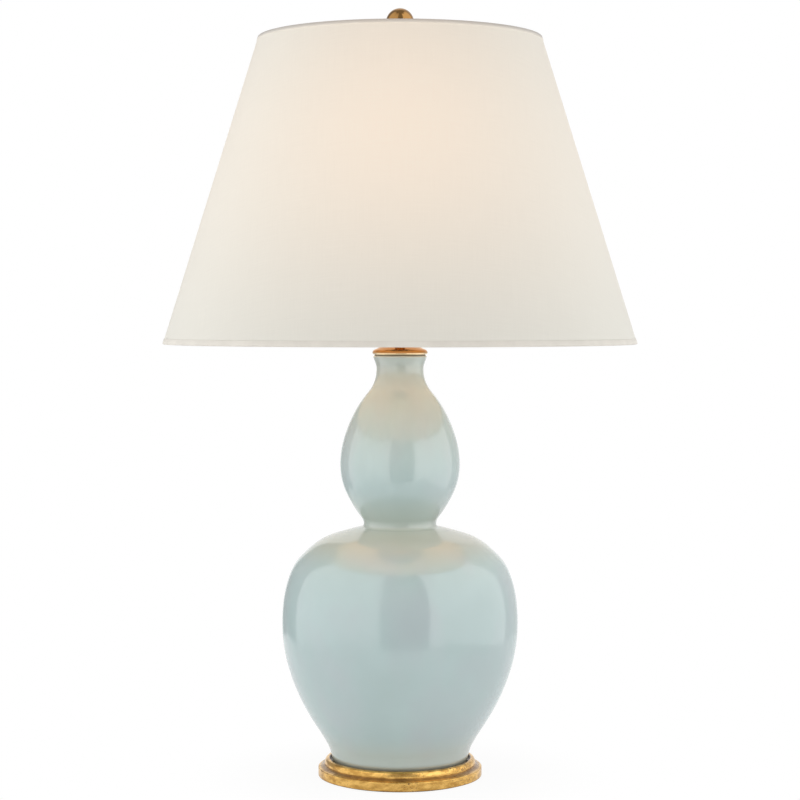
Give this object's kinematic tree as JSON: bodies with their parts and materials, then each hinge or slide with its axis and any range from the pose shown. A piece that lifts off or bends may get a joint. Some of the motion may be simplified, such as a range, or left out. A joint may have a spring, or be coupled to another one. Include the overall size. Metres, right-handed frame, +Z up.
{
  "type": "table lamp",
  "caption": "Double gourd table lamp: glazed ceramic body on a round gilded base, with a cone fabric shade held on a wire harp by a ball finial.",
  "frame": {"origin": "on the lamp axis, at the underside of the felt pad", "axes": "+Z up the lamp axis to the finial; the switch knob faces -Y, the cord inlet faces +Y, and the harp bow lies in the XZ plane"},
  "size_m": [0.458, 0.458, 0.7434],
  "materials": {
    "green_felt": "felted wool, dark green",
    "gilded_wood": "turned wood with rubbed gold leaf",
    "black_plastic": "moulded",
    "zinc_steel": "zinc plated",
    "cork": "pressed cork and rubber",
    "celadon_glaze": "pale blue-green gloss glaze",
    "polished_brass": "polished and lacquered",
    "brass_plate": "brass-plated steel, satin",
    "liner_paper": "fibre insulating paper",
    "moulded_black": "phenolic",
    "terminal_brass": "bright",
    "contact_aluminium": "drawn",
    "frosted_glass": "soft white coated",
    "shade_cloth": "fine plain weave, off-white",
    "shade_liner": "thin white sheet, satin",
    "shade_trim": "folded self tape",
    "white_wire": "epoxy coated wire"
  },
  "bodies": {
    "root": {"felt_pad": "green_felt", "gilt_base": "gilded_wood", "cord_bushing": "black_plastic", "bottom_washer": "zinc_steel", "bottom_nut": "zinc_steel", "threaded_pipe": "zinc_steel", "foot_gasket": "cork", "vase_body": "celadon_glaze", "lip_gasket": "cork", "vase_cap": "polished_brass", "neck_tube": "polished_brass", "harp_saddle": "brass_plate", "socket_cap": "polished_brass", "cap_set_screw": "zinc_steel", "socket_shell": "polished_brass", "paper_liner": "liner_paper", "insulator": "moulded_black", "terminal_screws": "terminal_brass", "screw_shell": "contact_aluminium", "centre_contact": "terminal_brass"},
    "switch": {"switch_shaft": "zinc_steel", "switch_knob": "polished_brass"},
    "bulb": {"bulb_glass": "frosted_glass", "bulb_cap": "contact_aluminium", "bulb_contact": "moulded_black"},
    "harp": {"harp_bow": "brass_plate", "harp_stud": "polished_brass"},
    "ferrule_left": {"ferrule_left": "polished_brass"},
    "ferrule_right": {"ferrule_right": "polished_brass"},
    "shade": {"shade_fabric": "shade_cloth", "shade_liner": "shade_liner", "shade_seam": "shade_trim", "bottom_ring": "white_wire", "top_tape": "shade_trim", "bottom_tape": "shade_trim", "spider_frame": "white_wire"},
    "finial": {"finial": "polished_brass"}
  },
  "joints": [
    {"name": "harp_lift", "type": "slide", "parent": "root", "child": "harp", "axis": [0, 0, 1], "range_m": [0, 0.15]},
    {"name": "ferrule_left_lift", "type": "slide", "parent": "harp", "child": "ferrule_left", "axis": [0, 0, 1], "range_m": [0, 0.018]},
    {"name": "ferrule_right_lift", "type": "slide", "parent": "harp", "child": "ferrule_right", "axis": [0, 0, 1], "range_m": [0, 0.018]},
    {"name": "shade_swivel", "type": "hinge", "parent": "harp", "child": "shade", "pos_m": [0, 0, 0.69985], "axis": [0, 0, 1], "continuous": true},
    {"name": "finial_lift", "type": "slide", "parent": "harp", "child": "finial", "axis": [0, 0, 1], "range_m": [0, 0.025]},
    {"name": "bulb_lift", "type": "slide", "parent": "root", "child": "bulb", "axis": [0, 0, 1], "range_m": [0, 0.03]},
    {"name": "switch_turn", "type": "hinge", "parent": "root", "child": "switch", "pos_m": [0, -0.02, 0.4693], "axis": [0, -1, 0], "continuous": true}
  ]
}
